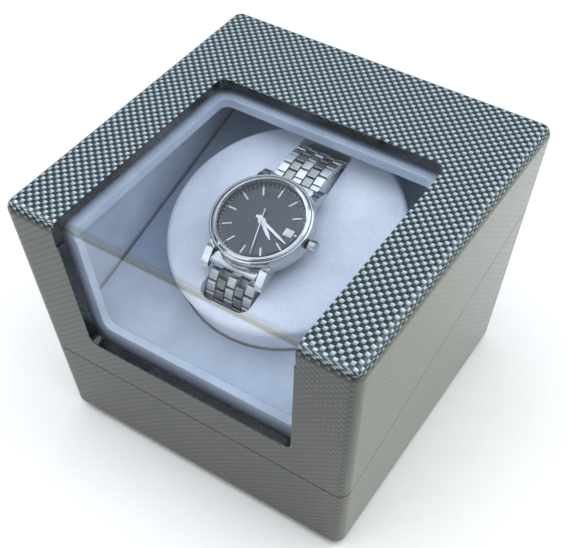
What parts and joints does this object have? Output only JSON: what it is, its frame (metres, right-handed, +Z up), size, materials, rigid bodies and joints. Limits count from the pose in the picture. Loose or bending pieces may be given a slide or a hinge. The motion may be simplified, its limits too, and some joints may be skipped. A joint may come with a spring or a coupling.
{
  "type": "watch winder box",
  "caption": "Tapered square box with a slanting hinged lid, an L-shaped clear window and a motor-driven plush turntable that winds a wristwatch.",
  "frame": {"origin": "centre of the box on the surface it stands on", "axes": "+Z up, -Y towards the front window, +X to the right seen from the front"},
  "size_m": [0.1444, 0.1466, 0.118],
  "materials": {
    "lacquer": "woven film under gloss lacquer",
    "clear_sheet": "polished clear sheet",
    "flock": "short pile plush over board",
    "plush": "short pile plush over foam",
    "wood": "sawn",
    "board": "painted fibreboard",
    "rubber": "matte",
    "screw_steel": "zinc plated",
    "magnet": "nickel plated",
    "circuit": "green solder mask",
    "brass": "machined",
    "black_plastic": "moulded",
    "shaft_steel": "ground",
    "nylon": "moulded nylon",
    "pale_plastic": "moulded",
    "motor_steel": "drawn can",
    "hinge_metal": "satin plated",
    "watch_steel": "polished and brushed",
    "crystal": "polished",
    "dial": "gloss black",
    "hand_metal": "polished"
  },
  "bodies": {
    "base": {"base_shell": "lacquer", "bottom_panel": "board", "foot_front_left": "rubber", "foot_front_right": "rubber", "foot_back_left": "rubber", "foot_back_right": "rubber", "bottom_screw_front_left": "screw_steel", "bottom_screw_front_right": "screw_steel", "bottom_screw_back_left": "screw_steel", "bottom_screw_back_right": "screw_steel", "rail_left": "wood", "rail_right": "wood", "mount_plate": "board", "collar": "board", "deck": "flock", "circuit_board": "circuit", "base_magnet_left": "magnet", "base_magnet_right": "magnet", "shaft_bush": "brass", "gearbox": "pale_plastic", "motor_can": "motor_steel", "rear_panel": "black_plastic", "power_jack": "black_plastic", "switch_body": "black_plastic", "hinge_leaf_base": "hinge_metal", "hinge_pin": "hinge_metal", "hinge_screw_base_left": "hinge_metal", "hinge_screw_base_right": "hinge_metal"},
    "lid": {"lid_shell": "lacquer", "window_pane": "clear_sheet", "window_frame": "flock", "lid_lining": "flock", "lid_magnet_left": "magnet", "lid_magnet_right": "magnet", "hinge_leaf_lid": "hinge_metal", "hinge_screw_lid_left": "hinge_metal", "hinge_screw_lid_right": "hinge_metal"},
    "turntable": {"turntable_cup": "black_plastic", "turntable_pad": "plush", "turntable_shaft": "shaft_steel", "shaft_clip": "shaft_steel", "drive_gear": "nylon"},
    "motor_drive": {"motor_pinion": "nylon"},
    "holder": {"watch_cushion": "plush", "bracelet_upper": "watch_steel", "bracelet_lower": "watch_steel", "watch_case": "watch_steel", "watch_case_back": "watch_steel", "watch_bezel": "watch_steel", "watch_crystal": "crystal", "watch_dial": "dial", "watch_movement": "brass"},
    "hour_wheel": {"hour_hand": "hand_metal"},
    "minute_wheel": {"minute_hand": "hand_metal"},
    "second_wheel": {"second_hand": "hand_metal"},
    "winding_rotor": {"winding_weight": "brass"},
    "stem": {"crown_stem": "watch_steel"},
    "crown_knob": {"crown": "watch_steel"},
    "mode_knob": {"switch_knob": "black_plastic"}
  },
  "joints": [
    {"name": "lid_hinge", "type": "hinge", "parent": "base", "child": "lid", "pos_m": [0, 0.07245, 0.08085], "axis": [-1, 0, 0], "range_deg": [0, 95]},
    {"name": "turntable_spin", "type": "hinge", "parent": "base", "child": "turntable", "pos_m": [0, 0.0055, 0.06189], "axis": [0, -0.284, 0.9588], "continuous": true},
    {"name": "motor_spin", "type": "hinge", "parent": "base", "child": "motor_drive", "pos_m": [0.0301, 0.0055, 0.06189], "axis": [0, -0.284, 0.9588], "continuous": true},
    {"name": "cushion_lift", "type": "slide", "parent": "turntable", "child": "holder", "axis": [0, -0.284, 0.9588], "range_m": [0, 0.0015]},
    {"name": "minute_spin", "type": "hinge", "parent": "holder", "child": "minute_wheel", "pos_m": [-0.0033, -0.01093, 0.08987], "axis": [0, 0.284, -0.9588], "continuous": true},
    {"name": "hour_spin", "type": "hinge", "parent": "holder", "child": "hour_wheel", "pos_m": [-0.0033, -0.01093, 0.08987], "axis": [0, 0.284, -0.9588], "continuous": true},
    {"name": "second_spin", "type": "hinge", "parent": "holder", "child": "second_wheel", "pos_m": [-0.0033, -0.01093, 0.08987], "axis": [0, 0.284, -0.9588], "continuous": true},
    {"name": "weight_spin", "type": "hinge", "parent": "holder", "child": "winding_rotor", "pos_m": [-0.0033, -0.01093, 0.08987], "axis": [0, -0.284, 0.9588], "continuous": true},
    {"name": "crown_pull", "type": "slide", "parent": "holder", "child": "stem", "axis": [1, 0, 0], "range_m": [0, 0.001]},
    {"name": "crown_turn", "type": "hinge", "parent": "stem", "child": "crown_knob", "pos_m": [0.0167, -0.01232, 0.09457], "axis": [1, 0, 0], "continuous": true},
    {"name": "mode_switch", "type": "slide", "parent": "base", "child": "mode_knob", "axis": [1, 0, 0], "range_m": [-0.003, 0.003]}
  ],
  "couplings": [
    {"joint": "motor_spin", "follows": "turntable_spin", "ratio": -4},
    {"joint": "hour_spin", "follows": "minute_spin", "ratio": 0.083333}
  ]
}
